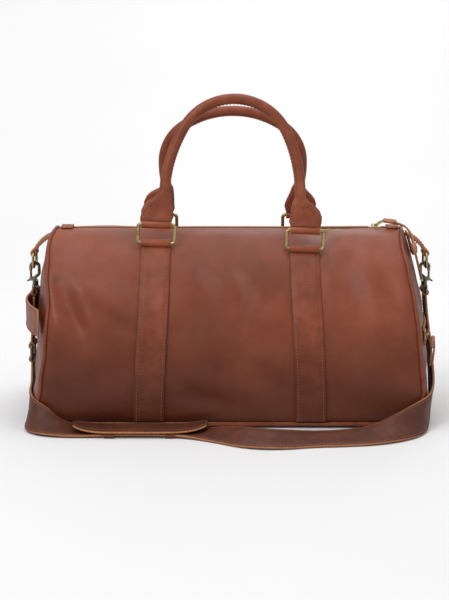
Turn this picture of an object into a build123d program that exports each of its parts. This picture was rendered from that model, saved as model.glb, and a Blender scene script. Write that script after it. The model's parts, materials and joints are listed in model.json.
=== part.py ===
from build123d import *

import os
from math import atan2, cos, degrees, radians, sin, sqrt, tan

# A leather duffel bag, standing on its base: millimetres, +X along the bag, -Y the front, +Z up.
# The origin is on the floor under the middle of the base.

# ---- driving dimensions ----------------------------------------------------------------------
HALF_DEPTH = 127.0  # widest half depth, at the waist
WAIST_Z = 95.0  # height of the widest point
CROWN_RISE = 146.0  # waist to the top of the arch
HALF_BASE = 122.0  # half depth of the base
BASE_CORNER = 18.0
END_APEX_X = 257.0  # how far each bulging end reaches
END_APEX_Z = 70.0
END_RADIUS = 520.0
LEATHER = 2.5  # shell leather
GAP = 0.1  # between pieces that lie on each other
HALF_LENGTH = 300.0  # longer than the bag, for cutting shapes

STRAP_WIDTH = 38.0
HANDLE_STRAP_X = 95.0
HANDLE_STRAP_THICK = 3.0
LOOP_INNER, LOOP_OUTER = 2.4, 5.2  # the strap's fold round a ring bar
RING_WIRE = 2.3  # radius
RING_HEIGHT = 24.0  # bar to bar
RING_WIDTH = 47.0  # centre to centre of the side bars
RING_CORNER = 4.0
FRONT_LOOP_Y = (-60.0, -69.0)  # where the left and right loops sit on the arch
REAR_LOOP_Y = (64.0, 64.0)
HANDLE_LEAN = 12.0  # degrees towards the other handle
HANDLE_TUBE, HANDLE_CORE = 6.6, 4.0  # radii
# Each arch: its offset along the bag, its left points (how far out, how high) and its first direction.
FRONT_ARCH = dict(offset=0.0, points=[(87.0, 39.0), (66.0, 125.0)], leaving=(0.0, 1.0))
REAR_ARCH = dict(offset=4.0, points=[(88.0, 39.0), (92.0, 76.0), (66.0, 124.0)], leaving=(-0.24, 0.97))

MOUTH_HALF = 8.0  # half the gap between the leather edges at the zip
ZIP_HALF_LENGTH = 214.0
TAPE_Z = (236.1, 236.9)
TAPE_HALF = 17.0
TEETH_HALF, TEETH_GAP = 4.0, 0.75
TOOTH_PITCH = 4.0
SLIDER_X = 190.0

CHAIN_X = 257.0  # the hanging chain of D-ring, hook and strap end
D_RING_Z = (208.0, 190.0)  # pivot bar and lower bar
D_RING_WIRE = 1.8
HOOK_WIRE, HOOK_BEND = 2.1, 5.5
HOOK_CENTRE_Z = 188.5
STEM_RADIUS = 1.6
GATE_PIVOT = (262.0, 172.5)
SWIVEL_Z = (165.0, 169.5)
STRAP_BAR_Z = 157.0

POCKET_Z = 115.0
POCKET_HALF = 95.0
POCKET_SLIDER_ANGLE = -9.6  # degrees round the end's centre line from mid-panel

SHOULDER_THICK = 2.6
BUCKLE_CENTRE = (-262.5, 12.0, 74.0)
BUCKLE_HALF = 9.0

# The shoulder strap's route from the right hook to the buckle: centre, then the way its lit edge points.
STRAP_ROUTE = [
    ((257.0, 0.0, 152.6), (0.00, -1.00, 0.00)),
    ((258.5, -3.0, 130.0), (0.00, -1.00, 0.10)),
    ((261.0, -10.0, 105.0), (0.00, -0.97, 0.25)),
    ((262.5, -25.0, 78.0), (0.00, -0.86, 0.50)),
    ((262.5, -49.0, 53.0), (0.05, -0.68, 0.72)),
    ((260.0, -80.0, 34.0), (0.10, -0.42, 0.90)),
    ((254.0, -113.0, 24.0), (0.05, -0.10, 0.99)),
    ((240.0, -145.0, 19.0), (-0.20, 0.35, 0.90)),
    ((215.0, -172.0, 14.2), (-0.25, 0.72, 0.62)),
    ((180.0, -191.0, 8.9), (-0.10, 0.93, 0.36)),
    ((141.0, -199.0, 6.8), (0.00, 0.96, 0.28)),
    ((100.0, -202.0, 6.6), (0.00, 0.97, 0.25)),
    ((60.0, -215.0, 9.6), (0.05, 0.93, 0.38)),
    ((25.0, -211.0, 10.4), (0.10, 0.91, 0.42)),
    ((-5.0, -186.0, 8.3), (0.20, 0.93, 0.28)),
    ((-38.0, -163.0, 3.8), (0.08, 0.99, 0.05)),
    ((-72.0, -154.0, 3.4), (0.00, 1.00, 0.00)),
    ((-112.0, -153.0, 3.4), (0.00, 1.00, 0.00)),
    ((-152.0, -153.0, 3.4), (0.00, 1.00, 0.00)),
    ((-190.0, -154.5, 4.0), (0.00, 0.99, 0.10)),
    ((-222.0, -153.0, 9.8), (0.05, 0.92, 0.38)),
    ((-244.0, -142.0, 17.4), (0.45, 0.45, 0.77)),
    ((-254.5, -121.0, 20.0), (0.30, 0.10, 0.94)),
    ((-257.0, -94.0, 20.6), (0.10, 0.02, 0.99)),
    ((-259.0, -62.0, 20.8), (0.00, 0.00, 1.00)),
    ((-260.0, -30.0, 23.0), (0.00, -0.15, 0.98)),
    ((-261.5, -9.0, 29.5), (0.00, -0.55, 0.83)),
    ((-262.3, 8.0, 41.0), (0.00, -0.93, 0.36)),
    ((-262.5, 12.0, 52.0), (0.00, -1.00, 0.00)),
    ((-262.4, 12.0, 60.6), (0.00, -1.00, 0.00)),
]
BILLET_ROUTE = [
    ((-262.5, 12.0, 87.4), (0.0, -1.0, 0.0)),
    ((-261.2, 10.5, 104.0), (0.0, -1.0, 0.0)),
    ((-258.9, 6.0, 121.0), (0.0, -1.0, 0.0)),
    ((-257.2, 2.0, 137.0), (0.0, -1.0, 0.0)),
    ((-257.0, 0.0, 152.6), (0.0, -1.0, 0.0)),
]
PAD_X = (-200.0, -25.0)
PAD_FLAT_X = (-155.0, -72.0)
PAD_Y, PAD_WIDTH, PAD_THICK, PAD_UNDER = -152.0, 46.0, 3.6, 5.3
PAD_CURL = 125.0  # radius of the pad's rising ends
KEEPER_X = (-151.0, -75.0)
KEEPER_LONG, KEEPER_THICK = 13.0, 1.5

THONG = 1.3  # radius of the lace on a zip pull
TOP_THONG_A = [
    (203, -3, 250.5), (210, -9, 250.5), (219, -17, 248.5), (229.5, -24, 244.5), (236.5, -29, 234),
    (239, -32, 219), (242.5, -34, 205), (246, -35, 191), (250, -35, 178),
]
TOP_THONG_B = [
    (203, 2, 248.5), (209.5, -3.5, 247.5), (217, -11.5, 246.8), (227.5, -18.5, 245.3), (235.5, -23.5, 236.5),
    (238.5, -27, 220), (242.5, -29, 205), (246, -30, 190), (249.5, -30.5, 175),
]
POCKET_THONG_A = [(258.5, -96.5, 112), (260, -99, 106), (259.5, -101, 97), (258.5, -101.5, 87), (257.5, -101, 77)]
POCKET_THONG_B = [(257, -92, 112), (257.5, -94, 105), (256.5, -95.5, 96), (256, -95, 86), (255.5, -94, 75)]

# ---- shared shapes ---------------------------------------------------------------------------


def arch_z(y, stand_off=0.0):
    """Height of the arch at depth y."""
    a, b = HALF_DEPTH + stand_off, CROWN_RISE + stand_off
    return WAIST_Z + b * sqrt(1 - (y / a) ** 2)


def arch_normal(y):
    """Outward (y, z) direction of the arch at depth y."""
    n = Vector(0, y / HALF_DEPTH**2, (arch_z(y) - WAIST_Z) / CROWN_RISE**2).normalized()
    return n.Y, n.Z


def end_x(y, z):
    """How far the right end's skin reaches at (y, z)."""
    return END_APEX_X - (y * y + (z - END_APEX_Z) ** 2) / (2 * END_RADIUS)


def prism(inset):
    """The bag's cross-section, pulled in by inset, running past both ends."""
    a, b, foot = HALF_DEPTH - inset, CROWN_RISE - inset, HALF_BASE - inset
    arch = EllipticalCenterArc((0, WAIST_Z), a, b, start_angle=0, arc_size=180)
    lower = Polyline((-a, WAIST_Z), (-foot, inset), (foot, inset), (a, WAIST_Z))
    face = make_face(arch + lower)
    corners = face.vertices().sort_by(Axis.Y)[:2]
    face = fillet(corners, max(BASE_CORNER - inset, 2))
    return extrude(Plane.YZ * face, HALF_LENGTH, both=True)


def end_ball(side, inset):
    """The sphere whose cap is one end of the bag. side is 1 for the right and -1 for the left."""
    return Pos(side * (END_APEX_X - END_RADIUS), 0, END_APEX_Z) * Sphere(END_RADIUS - inset)


def between(shape, inset):
    """The part of shape between the two ends."""
    return shape & end_ball(1, inset) & end_ball(-1, inset)


def block(x, y, z):
    """A box from three (low, high) pairs."""
    size = [high - low for low, high in (x, y, z)]
    centre = [(low + high) / 2 for low, high in (x, y, z)]
    return Pos(*centre) * Box(*size)


def shifted(plane, along):
    """The same plane, moved by along in its own x direction."""
    return Plane(plane.origin + plane.x_dir * along, x_dir=plane.x_dir, z_dir=plane.z_dir)


def rod(start, end, radius):
    """A round bar between two points."""
    path = Line(start, end)
    return sweep(Plane(path @ 0, z_dir=path % 0) * Circle(radius), path=path)


def wire_ring(plane, width, height, corner, radius):
    """A rectangular wire ring standing in plane, with its lower bar's middle at the plane's origin."""
    outline = Pos(0, height / 2) * RectangleRounded(width, height, corner)
    path = plane * outline.wires()[0]
    return sweep(Plane(path @ 0, z_dir=path % 0) * Circle(radius), path=path)


def fold(plane, width, inner, outer):
    """A leather fold round a bar that runs along the plane's x direction."""
    across = Plane(plane.origin, x_dir=plane.y_dir, z_dir=plane.x_dir)
    return extrude(across * (Circle(outer) - Circle(inner)), width / 2, both=True)


def bar_room(plane, width, radius):
    """The round space that a bar along the plane's x direction takes."""
    across = Plane(plane.origin, x_dir=plane.y_dir, z_dir=plane.x_dir)
    return extrude(across * Circle(radius), width / 2, both=True)


def bend_radii(points, share=0.45):
    """For each inner corner, the largest arc that its two runs allow."""
    radii = []
    for before, here, after in zip(points, points[1:], points[2:]):
        run_in, run_out = Vector(*here) - Vector(*before), Vector(*after) - Vector(*here)
        turn = radians(run_in.get_angle(run_out))
        radii.append(share * min(run_in.length, run_out.length) / tan(turn / 2))
    return radii


def soft_path(points, name):
    """Straight runs joined by tangent arcs through a cord's points."""
    radii = bend_radii(points)
    print(name, "tightest arcs", [round(r) for r in sorted(radii)[:3]])
    return FilletPolyline(*points, radius=radii)


def lace(points, name):
    path = soft_path(points, name)
    return sweep(Plane(path @ 0, z_dir=path % 0) * Circle(THONG), path=path)


def ribbon(route, width, thick, name, step=9.0):
    """A flat strap along a route of (centre, edge direction), as a solid with plane faces."""
    centres = [c for c, _ in route]
    path = soft_path(centres, name)
    lengths = [0.0]
    for before, here in zip(centres, centres[1:]):
        lengths.append(lengths[-1] + (Vector(*here) - Vector(*before)).length)
    spots = [x / lengths[-1] for x in lengths]
    count = int(path.length / step)
    rings = []
    for i in range(count + 1):
        t = i / count
        k = max(j for j in range(len(spots) - 1) if spots[j] <= t)
        share = (t - spots[k]) / (spots[k + 1] - spots[k])
        edge = Vector(*route[k][1]) * (1 - share) + Vector(*route[k + 1][1]) * share
        along = path % t
        edge = (edge - along * edge.dot(along)).normalized() * (width / 2)
        face = along.cross(edge).normalized() * (thick / 2)
        centre = path @ t
        rings.append([centre + edge + face, centre + edge - face, centre - edge - face, centre - edge + face])
    faces = [Face(Wire.make_polygon(rings[0])), Face(Wire.make_polygon(rings[-1]))]
    for low, high in zip(rings, rings[1:]):
        for a in range(4):
            b = (a + 1) % 4
            faces.append(Face(Wire.make_polygon([low[a], low[b], high[b]])))
            faces.append(Face(Wire.make_polygon([low[a], high[b], high[a]])))
    solid = Solid(Shell(faces))
    print(name, "length", round(path.length), "volume share", round(abs(solid.volume) / (path.length * width * thick), 3))
    return solid


def slider(plane, travel=8.0):
    """A zip slider: plane's x is the way it travels, z points out of the tape."""
    top = Pos(0, 0, 3.3) * extrude(RectangleRounded(2 * travel, 13, 3), 1.9)
    bottom = Pos(0, 0, -4.4) * extrude(RectangleRounded(2 * travel, 13, 3), 1.9)
    wedge = block((travel - 4, travel - 1), (-0.5, 0.5), (-3, 4))
    flanges = [
        block((-travel + 3, travel - 3), (y - 0.5, y + 0.5), z)
        for y in (-5.6, 5.6)
        for z in ((1.6, 3.5), (-3.0, -1.1))
    ]
    bail = block((-4.2, 4.2), (-1.0, 1.0), (4.8, 9.0)) - block((-2.8, 2.8), (-2, 2), (5.2, 8.0))
    body = top + bottom + wedge + bail
    for flange in flanges:
        body += flange
    return plane * body


def pull_ring(plane, lift):
    """A round pull ring through a slider's bail, raised by lift degrees from the tape."""
    ring = Pos(6.0, 0, 0) * Torus(6.0, 1.0)
    return plane * Pos(0, 0, 6.6) * Rot(0, -lift, 0) * ring


# ---- sub-parts -------------------------------------------------------------------------------


def shell_panels():
    """The leather shell: front, rear, base and the two bulging ends."""
    wall = between(prism(0) - prism(LEATHER), LEATHER + GAP)
    mouth = block((-ZIP_HALF_LENGTH, ZIP_HALF_LENGTH), (-MOUTH_HALF, MOUTH_HALF), (200, 260))
    seam_z = 5.5
    above = (seam_z, 300)
    far = 200
    made = {
        "front_panel": wall & block((-far * 2, far * 2), (-far, 0), above),
        "rear_panel": wall & block((-far * 2, far * 2), (0, far), above),
        "base_panel": wall & block((-far * 2, far * 2), (-far, far), (-1, seam_z - GAP)),
    }
    made["front_panel"] -= mouth + block((-far * 2, far * 2), (-GAP / 2, GAP / 2), (200, 260))
    made["rear_panel"] -= mouth
    cap = prism(0) & (end_ball(1, 0) - end_ball(1, LEATHER)) & block((0, 400), (-far, far), (-10, 300))
    window = block((200, 300), (-POCKET_HALF, POCKET_HALF), (POCKET_Z - 8.5, POCKET_Z + 8.5))
    made["end_panel_right"] = cap - window
    made["end_panel_left"] = mirror(cap, about=Plane.YZ)
    return made


def inner_pieces():
    """The fabric lining and the board that stiffens the base."""
    board_z = (LEATHER + GAP, LEATHER + GAP + 2.4)
    board = block((-215, 215), (-106, 106), board_z)
    skin, end_room, floor_z = 0.8, 9.5, board_z[1] + 0.2
    side_room = LEATHER + 0.8
    outside = between(prism(side_room), end_room) & block((-400, 400), (-200, 200), (floor_z, 300))
    inside = between(prism(side_room + skin), end_room + skin)
    inside &= block((-400, 400), (-200, 200), (floor_z + skin, 300))
    mouth = block((-400, 400), (-TAPE_HALF - 2, TAPE_HALF + 2), (200, 300))
    return {"base_board": board, "lining": outside - inside - mouth}


def piping():
    """Welts along the end seams and along the base."""
    proud, wide = 2.0, 4.5
    rim = between(prism(-proud - GAP) - prism(-GAP), 0)
    made = {}
    for side, name in ((1, "right"), (-1, "left")):
        band = (rim - end_ball(side, wide)) & block((-400, 400), (-200, 200), (8, 300))
        half = block((0, 400) if side > 0 else (-400, 0), (-200, 200), (-10, 300))
        made[f"end_piping_{name}"] = band & half
    radius = 2.3
    reach = 230.0
    lean = atan2(HALF_DEPTH - HALF_BASE, WAIST_Z)
    corner_y = HALF_BASE + BASE_CORNER * (tan(lean) - 1 / cos(lean))
    out, below = BASE_CORNER + radius + 0.3, radians(40)
    y, z = corner_y + out * cos(below), BASE_CORNER - out * sin(below)
    for side, name in ((-1, "front"), (1, "rear")):
        made[f"base_piping_{name}"] = rod((-reach, side * y, z), (reach, side * y, z), radius)
    return made


def top_zip():
    """Two tapes, each with its row of teeth, and the leather tabs over their ends."""
    made = {}
    reach = ZIP_HALF_LENGTH - 10
    for side, name in ((-1, "front"), (1, "rear")):
        near, far = sorted((side * (TEETH_HALF + GAP), side * TAPE_HALF))
        made[f"zip_tape_{name}"] = block((-ZIP_HALF_LENGTH, ZIP_HALF_LENGTH), (near, far), TAPE_Z)
        outline, x = [(-reach, side * TEETH_HALF)], -reach
        while x < reach - TOOTH_PITCH / 2:
            half = TOOTH_PITCH / 2
            outline += [(x, side * TEETH_GAP), (x + half, side * TEETH_GAP)]
            outline += [(x + half, side * (TEETH_GAP + 1.6)), (x + TOOTH_PITCH, side * (TEETH_GAP + 1.6))]
            x += TOOTH_PITCH
        outline += [(x, side * TEETH_HALF)]
        teeth = extrude(make_face(Polyline(*outline, close=True)), 3.6)
        made[f"zip_teeth_{name}"] = Pos(0, 0, TAPE_Z[0] + 0.4 - 1.8) * teeth
    top = arch_z(0) + 0.15
    for side, name in ((-1, "left"), (1, "right")):
        x = sorted((side * 205.5, side * 221.0))
        tab = block(x, (-13, 13), (top, top + 1.9))
        made[f"zip_end_tab_{name}"] = fillet(tab.edges().filter_by(Axis.Z), 3)
    return made


def loop_plane(loop_y, side_sign):
    """The plane of one handle's rings: origin midway between its loops, x along them, y up the lean."""
    ends = []
    for x, y in zip((-HANDLE_STRAP_X, HANDLE_STRAP_X), loop_y):
        ny, nz = arch_normal(y)
        away = LOOP_OUTER + 0.7
        ends.append(Vector(x, y + away * ny, arch_z(y) + away * nz))
    along = (ends[1] - ends[0]).normalized()
    lean = Vector(0, -side_sign * sin(radians(HANDLE_LEAN)), cos(radians(HANDLE_LEAN)))
    facing = along.cross(lean).normalized()
    return Plane((ends[0] + ends[1]) / 2, x_dir=along, z_dir=facing), (ends[1] - ends[0]).length


def handle_strap(x, loop_y, plane, offset):
    """A leather strap sewn up the panel from the base seam, folded round the ring's lower bar."""
    side = 1 if loop_y > 0 else -1
    over = prism(-HANDLE_STRAP_THICK - 2 * GAP) - prism(-2 * GAP)
    half = STRAP_WIDTH / 2
    region = block((x - half, x + half), sorted((side * 200, loop_y - side * 2)), (9.5, 300))
    bar = shifted(plane, offset)
    loop = fold(bar, STRAP_WIDTH, LOOP_INNER, LOOP_OUTER) - prism(-2 * GAP)
    bore = bar_room(bar, STRAP_WIDTH + 2, LOOP_INNER)
    return (over & region) - bore + loop


def handle(plane, span, offset, points, leaving):
    """A rolled handle with flared feet folded round the rings' upper bars, and its rope core."""
    left = [(-out, up) for out, up in points]
    rise, tangent = [], leaving
    for start, end in zip(left, left[1:]):
        arc = TangentArc(start, end, tangent=tangent)
        rise.append(arc.edge())
        tangent = arc % 1
    over = TangentArc(left[-1], points[-1], tangent=tangent).edge()
    down = [mirror(edge, about=Plane.YZ).edge() for edge in reversed(rise)]
    path = plane * Pos(offset, RING_HEIGHT) * Wire([*rise, over, *down])
    section = Plane(path @ 0, z_dir=path % 0)
    sleeve = sweep(section * Circle(HANDLE_TUBE), path=path)
    core = sweep(section * Circle(HANDLE_CORE), path=path)
    bore = sweep(section * Circle(HANDLE_CORE + GAP), path=path)
    foot_wide, foot_thick = 21.5, 3.0
    for side in (-1, 1):
        x = side * span / 2
        neck = offset + side * points[0][0]
        outline = Polyline(
            (x - 19, 2), (x + 19, 2), (x + foot_wide, 14), (x + 17, 27), (neck + 6.4, 41),
            (neck - 6.4, 41), (x - 17, 27), (x - foot_wide, 14), close=True,
        )
        plate = Pos(0, RING_HEIGHT) * extrude(make_face(outline), foot_thick, both=True)
        upper = Plane(plane.origin + plane.y_dir * RING_HEIGHT + plane.x_dir * x, x_dir=plane.x_dir, z_dir=plane.z_dir)
        sleeve += plane * plate
        sleeve -= bar_room(upper, STRAP_WIDTH + 20, LOOP_OUTER - 0.5)
        sleeve += fold(upper, STRAP_WIDTH, LOOP_INNER, LOOP_OUTER)
    return sleeve - bore, core


def handles():
    """Straps, rings and handles of both sides."""
    made, facts = {}, {}
    for name, loop_y, side, arch in (
        ("front", FRONT_LOOP_Y, -1, FRONT_ARCH),
        ("rear", REAR_LOOP_Y, 1, REAR_ARCH),
    ):
        plane, span = loop_plane(loop_y, side)
        for x_side, x_name, y in ((-1, "left", loop_y[0]), (1, "right", loop_y[1])):
            offset = x_side * span / 2
            made[f"handle_strap_{name}_{x_name}"] = handle_strap(x_side * HANDLE_STRAP_X, y, plane, offset)
            ring = wire_ring(shifted(plane, offset), RING_WIDTH, RING_HEIGHT, RING_CORNER, RING_WIRE)
            made[f"handle_ring_{name}_{x_name}"] = ring
        made[f"{name}_handle"], made[f"{name}_handle_core"] = handle(plane, span, **arch)
        facts[name] = dict(origin=plane.origin, axis=plane.x_dir, up=plane.y_dir)
    for name, f in facts.items():
        print(f"{name} rings turn about", f["origin"], "along", f["axis"], "up", f["up"])
    return made


def end_hardware():
    """The right end's tab, D-ring, swivel and snap hook."""
    pivot = Plane((CHAIN_X, 0, D_RING_Z[0]), x_dir=(0, 1, 0), z_dir=(1, 0, 0))
    height = D_RING_Z[0] - D_RING_Z[1]
    low = Plane((CHAIN_X, 0, D_RING_Z[1]), x_dir=(0, 1, 0), z_dir=(1, 0, 0))
    made = {"d_ring": wire_ring(low, 40, height, 5, D_RING_WIRE)}
    tab_width = 29.0
    root_z = 224.0
    root = Vector(end_x(0, root_z) - 6, 0, root_z + 4)
    head = Vector(CHAIN_X, 0, D_RING_Z[0])
    mid, reach = (root + head) / 2, (root - head)
    arm = Box(reach.length, tab_width, 4.6)
    arm = Plane(mid, x_dir=reach.normalized(), z_dir=Vector(0, 1, 0).cross(reach.normalized()) * -1) * arm
    tab_bore = bar_room(pivot, tab_width + 2, D_RING_WIRE + GAP)
    tab = arm - tab_bore + fold(pivot, tab_width, D_RING_WIRE + GAP, D_RING_WIRE + 2.6)
    made["end_tab"] = tab - end_ball(1, -GAP)

    centre = (CHAIN_X, 0, HOOK_CENTRE_Z)
    tip, back = CHAIN_X + HOOK_BEND, CHAIN_X - HOOK_BEND
    bow = CenterArc((0, 0), HOOK_BEND, 0, 180)
    bow = Plane(centre, x_dir=(1, 0, 0), z_dir=(0, -1, 0)) * bow
    bends = [(back, 0, HOOK_CENTRE_Z), (back, 0, 179.0), (CHAIN_X, 0, 174.0), (CHAIN_X, 0, 171.0)]
    leg = FilletPolyline(*bends, radius=2.6)
    path = Wire([Line((tip, 0, 183.0), (tip, 0, HOOK_CENTRE_Z)).edge(), bow.edge(), *leg.edges()])
    hook = sweep(Plane(path @ 0, z_dir=path % 0) * Circle(HOOK_WIRE), path=path)
    px, pz = GATE_PIVOT
    ears = [block((CHAIN_X - 1.5, px + 2.2), y, (pz - 2.2, pz + 2.2)) for y in ((2.85, 4.2), (-4.2, -2.85))]
    bridge = block((CHAIN_X - 1.5, CHAIN_X + 1.5), (-4.2, 4.2), (pz - 2.2, pz + 2.2))
    stem = rod((CHAIN_X, 0, 171), (CHAIN_X, 0, 164.4), STEM_RADIUS)
    head_disc = rod((CHAIN_X, 0, 163.3), (CHAIN_X, 0, 164.6), 2.8)
    made["snap_hook"] = hook + ears[0] + ears[1] + bridge + stem + head_disc + rod((px, -4.2, pz), (px, 4.2, pz), 1.0)
    gate = rod((px, -2.7, pz), (px, 2.7, pz), 2.3) + rod((px + 0.3, 0, pz + 1), (tip, 0, 182.6), 1.5)
    gate += rod((px, 0, pz), (px + 5.5, 0, pz - 3.2), 1.2)
    made["hook_gate"] = gate - rod((px, -5, pz), (px, 5, pz), 1.07)

    ring_height = 167.2 - STRAP_BAR_Z
    bar = Plane((CHAIN_X, 0, STRAP_BAR_Z), x_dir=(0, 1, 0), z_dir=(1, 0, 0))
    collar = rod((CHAIN_X, 0, SWIVEL_Z[0]), (CHAIN_X, 0, SWIVEL_Z[1]), 3.6)
    bore = rod((CHAIN_X, 0, 160), (CHAIN_X, 0, 175), STEM_RADIUS + 0.08)
    below = block((CHAIN_X - 4, CHAIN_X + 4), (-3.6, 3.6), (162.5, SWIVEL_Z[0]))
    swivel = wire_ring(bar, 46, ring_height, 3.4, D_RING_WIRE) + collar
    made["swivel_ring"] = swivel - bore - below
    return made


def strap_end(bar):
    """The strap's fold round a bar that runs along Y through the point bar."""
    plane = Plane(bar, x_dir=(0, 1, 0), z_dir=(1, 0, 0))
    return fold(plane, STRAP_WIDTH, D_RING_WIRE + GAP, D_RING_WIRE + GAP + SHOULDER_THICK)


def shoulder_strap():
    """The long strap, the short billet, the slide buckle between them, and the shoulder pad."""
    bx, by, bz = BUCKLE_CENTRE
    made = {
        "shoulder_strap": strap_end((CHAIN_X, 0, STRAP_BAR_Z))
        + strap_end((bx, by, bz - BUCKLE_HALF))
        + ribbon(STRAP_ROUTE, STRAP_WIDTH, SHOULDER_THICK, "shoulder_strap"),
        "strap_billet": strap_end((-CHAIN_X, 0, STRAP_BAR_Z))
        + strap_end((bx, by, bz + BUCKLE_HALF))
        + ribbon(BILLET_ROUTE, STRAP_WIDTH, SHOULDER_THICK, "strap_billet"),
    }
    low = Plane((bx, by, bz - BUCKLE_HALF), x_dir=(0, 1, 0), z_dir=(1, 0, 0))
    frame = wire_ring(low, 45.4, 2 * BUCKLE_HALF, 3, D_RING_WIRE)
    made["strap_buckle"] = frame + rod((bx, by - 22.7, bz), (bx, by + 22.7, bz), 1.5)

    (left, right), (flat_left, flat_right) = PAD_X, PAD_FLAT_X
    left_turn = degrees((flat_left - left) / PAD_CURL)
    right_turn = degrees((right - flat_right) / PAD_CURL)
    under = [
        JernArc((flat_left, PAD_UNDER), (-1, 0), PAD_CURL, -left_turn),
        JernArc((flat_right, PAD_UNDER), (1, 0), PAD_CURL, right_turn),
    ]
    flat = Line((flat_left, PAD_UNDER), (flat_right, PAD_UNDER))
    base = Wire([under[0].edge(), flat.edge(), under[1].edge()])
    top_radius = PAD_CURL - PAD_THICK
    over = [
        JernArc((flat_left, PAD_UNDER + PAD_THICK), (-1, 0), top_radius, -left_turn),
        JernArc((flat_right, PAD_UNDER + PAD_THICK), (1, 0), top_radius, right_turn),
    ]
    lid = Line((flat_left, PAD_UNDER + PAD_THICK), (flat_right, PAD_UNDER + PAD_THICK))
    ends = [Line(a @ 1, b @ 1) for a, b in zip(under, over)]
    outline = [*base.edges(), *(o.edge() for o in over), lid.edge(), *(e.edge() for e in ends)]
    face = make_face(outline)
    upright = Plane((0, PAD_Y, 0), x_dir=(1, 0, 0), z_dir=(0, -1, 0))
    made["shoulder_pad"] = extrude(upright * face, PAD_WIDTH / 2, both=True)

    keepers = []
    strap_y = -154.0
    for x in KEEPER_X:
        half = KEEPER_LONG / 2
        sides = STRAP_WIDTH / 2 + 1.8
        outer = block((x - half, x + half), (strap_y - sides - 1.5, strap_y + sides + 1.5), (0.3, PAD_UNDER - GAP))
        hole = block((x - half - 1, x + half + 1), (strap_y - sides, strap_y + sides), (0.2 + KEEPER_THICK, 9))
        keepers.append(outer - hole)
    made["pad_keepers"] = Compound(children=keepers)
    return made


def end_grip():
    """The leather band sewn across the left end, standing off it."""
    low, high, half = 115.0, 151.0, 116.0
    seam_x, crest_x, thick = end_x(half, 133) + 1.2, 268.0, 2.6
    outer = ThreePointArc((-seam_x - thick, -half), (-crest_x, 0), (-seam_x - thick, half))
    inner = ThreePointArc((-seam_x, -half), (-crest_x + thick, 0), (-seam_x, half))
    face = make_face([outer.edge(), Line(outer @ 1, inner @ 1).edge(), inner.edge(), Line(inner @ 0, outer @ 0).edge()])
    band = Pos(0, 0, low) * extrude(face, high - low)
    return {"end_grip": band - end_ball(-1, -GAP)}


def end_pocket():
    """The right end's zipped pocket: welt, tape, teeth and the fabric pouch behind it."""

    def skin(r_in, r_out, y, z):
        layer = end_ball(1, -r_out) - end_ball(1, -r_in)
        return layer & block((200, 300), y, z)

    made = {}
    window = skin(-4, 4, (-POCKET_HALF - 2, POCKET_HALF + 2), (POCKET_Z - 7.2, POCKET_Z + 7.2))
    frame = skin(GAP, 1.4, (-POCKET_HALF - 8, POCKET_HALF + 8), (POCKET_Z - 12, POCKET_Z + 12))
    made["pocket_welt"] = frame - window
    tape = skin(-3.5, -2.7, (-POCKET_HALF - 6, POCKET_HALF + 6), (POCKET_Z - 12, POCKET_Z + 12))
    made["pocket_zip_tape"] = tape - skin(-5, 0, (-POCKET_HALF, POCKET_HALF), (POCKET_Z - 4.1, POCKET_Z + 4.1))
    reach = (-POCKET_HALF + 1, POCKET_HALF - 1)
    rows = [skin(-4.9, -1.3, reach, (POCKET_Z + s * 2.375 - 1.6, POCKET_Z + s * 2.375 + 1.6)) for s in (-1, 1)]
    made["pocket_zip_teeth"] = Compound(children=rows)
    pouch = skin(-8.6, -5.2, (-85, 85), (35, 106)) - skin(-8.0, -5.8, (-84.4, 84.4), (35.6, 107))
    made["pocket_pouch"] = pouch
    return made


def pocket_slider_plane():
    """Where the pocket's slider stands on its curved zip."""
    turn = radians(POCKET_SLIDER_ANGLE)
    ring = sqrt((END_RADIUS - 3.1) ** 2 - (POCKET_Z - END_APEX_Z) ** 2)
    out = Vector(cos(turn), sin(turn), 0)
    origin = Vector(END_APEX_X - END_RADIUS, 0, POCKET_Z) + out * ring
    return Plane(origin, x_dir=(-sin(turn), cos(turn), 0), z_dir=out)


def sliders():
    """Both zip sliders with their pull rings and laces."""
    top = Plane((SLIDER_X, 0, (TAPE_Z[0] + TAPE_Z[1]) / 2), x_dir=(1, 0, 0), z_dir=(0, 0, 1))
    pocket = pocket_slider_plane()
    made = {
        "zip_slider": slider(top),
        "zip_pull_ring": pull_ring(top, 30),
        "pocket_slider": slider(pocket, 6.5),
        "pocket_pull_ring": pull_ring(Plane(pocket.origin, x_dir=-pocket.x_dir, z_dir=pocket.z_dir), 25),
        "zip_thong_a": lace(TOP_THONG_A, "zip_thong_a"),
        "zip_thong_b": lace(TOP_THONG_B, "zip_thong_b"),
        "pocket_thong_a": lace(POCKET_THONG_A, "pocket_thong_a"),
        "pocket_thong_b": lace(POCKET_THONG_B, "pocket_thong_b"),
    }
    print("pocket slider at", pocket.origin, "out", pocket.z_dir)
    return made


def build():
    nodes = {}
    for make in (shell_panels, inner_pieces, piping, top_zip, handles, shoulder_strap, end_grip, end_pocket, sliders):
        nodes.update(make())
    for name, shape in end_hardware().items():
        nodes[f"{name}_right"] = shape
        nodes[f"{name}_left"] = mirror(shape, about=Plane.YZ)
    return nodes


os.makedirs("parts", exist_ok=True)
for node, shape in build().items():
    export_step(shape, f"parts/{node}.step")
    print(node, "solids", len(shape.solids()))
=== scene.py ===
import json
from math import acos, atan2, cos, exp, hypot, pi, radians, sin, sqrt

import bmesh
import bpy
from mathutils import Matrix, Vector, noise


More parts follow.
